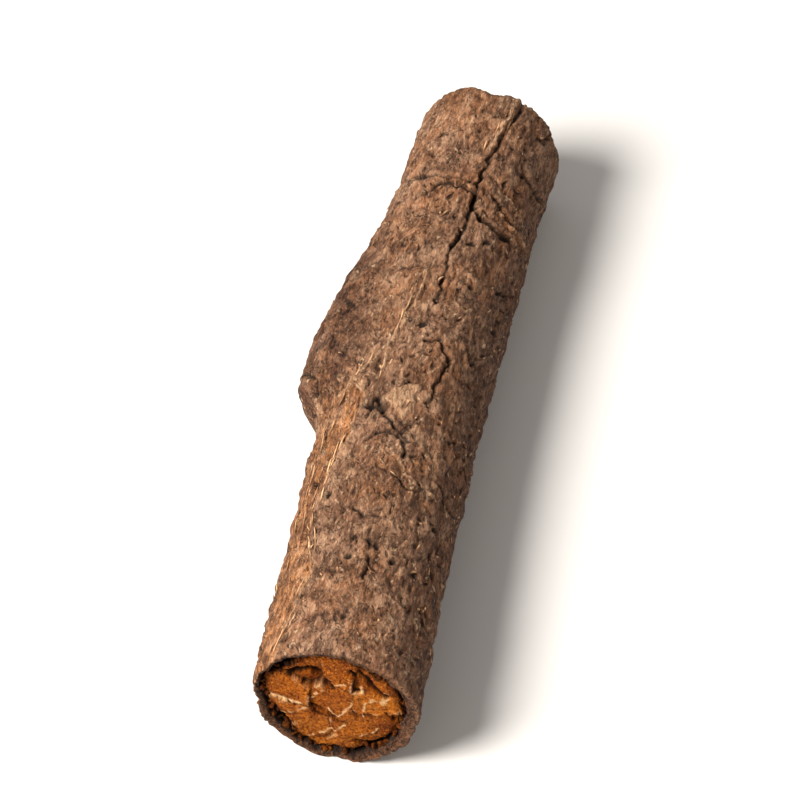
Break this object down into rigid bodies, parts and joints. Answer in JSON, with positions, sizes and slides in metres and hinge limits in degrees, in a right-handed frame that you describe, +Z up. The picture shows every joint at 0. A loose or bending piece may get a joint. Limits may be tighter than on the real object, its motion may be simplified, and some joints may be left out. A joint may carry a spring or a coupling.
{
  "type": "turpeth root",
  "caption": "Cut piece of dried turpeth root with rough furrowed bark, a side swelling and split wood at both sawn ends, lying on its side.",
  "frame": {"origin": "centre of the outline on the surface that the root lies on", "axes": "+Y along the root from the freshly sawn end to the worn end, +Z up, the swelling towards -X"},
  "size_m": [0.0249, 0.097, 0.0192],
  "materials": {
    "bark": "rough dry grey-brown bark with warm worn patches and pale torn fibres",
    "cut_wood": "split orange-brown wood inside the bark, with pale torn edges"
  },
  "bodies": {
    "root": {"turpeth_root": "bark"}
  },
  "joints": []
}
